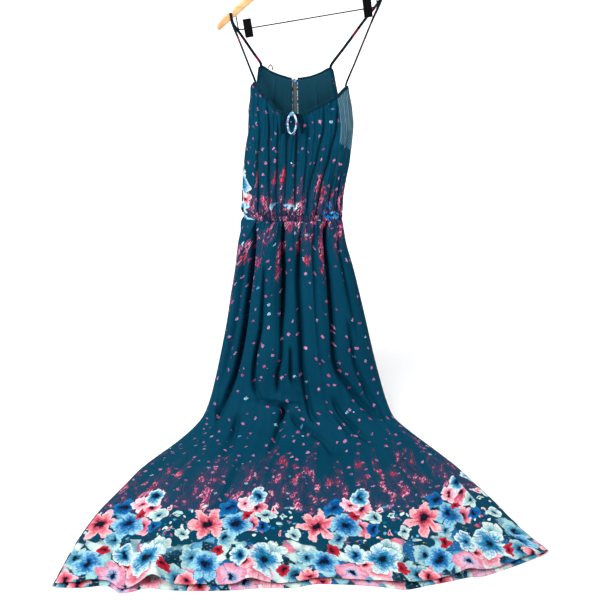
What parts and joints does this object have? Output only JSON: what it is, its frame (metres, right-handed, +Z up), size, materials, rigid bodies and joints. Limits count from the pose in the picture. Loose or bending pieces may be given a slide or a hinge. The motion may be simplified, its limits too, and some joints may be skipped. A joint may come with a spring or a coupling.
{
  "type": "maxi dress on a wooden trouser-bar hanger",
  "caption": "Long strappy dress with a gathered waist, hung on a tilted wooden hanger, its full skirt fanned out over the floor in front.",
  "frame": {"origin": "the point at the top of the hanger's hook that rests on a rail", "axes": "+Z up, -Y to the front of the dress, +X to the right as seen from the front"},
  "size_m": [0.944, 0.7483, 1.2005],
  "materials": {
    "printed_cloth": "soft crepe with a printed flower border",
    "lining_cloth": "plain matt lining",
    "binding_cloth": "folded crepe binding",
    "strap_cloth": "dark folded crepe strap",
    "button": "small covered button",
    "wood": "clear varnish",
    "wire": "dark plated wire",
    "clip": "black moulded plastic"
  },
  "bodies": {
    "root": {"hanger_wood": "wood", "hanger_hook": "wire", "hanger_bar": "wire", "hanger_clip_left": "clip", "hanger_clip_right": "clip", "bodice_front": "printed_cloth", "bodice_back_left": "printed_cloth", "bodice_back_right": "printed_cloth", "lining_front": "lining_cloth", "lining_back_left": "lining_cloth", "lining_back_right": "lining_cloth", "binding_neck_front": "binding_cloth", "binding_neck_back_left": "binding_cloth", "binding_neck_back_right": "binding_cloth", "binding_arm_left": "binding_cloth", "binding_arm_right": "binding_cloth", "binding_slit_left": "printed_cloth", "binding_slit_right": "printed_cloth", "slit_placket": "binding_cloth", "back_button": "button", "neck_loop": "binding_cloth", "tie_knot": "printed_cloth", "tie_loop_left": "binding_cloth", "tie_loop_right": "binding_cloth", "tie_loop_centre": "printed_cloth", "waist_casing_front": "printed_cloth", "waist_casing_back": "printed_cloth", "skirt_front": "printed_cloth", "skirt_back": "printed_cloth", "strap_left": "strap_cloth", "strap_right": "strap_cloth"}
  },
  "joints": []
}
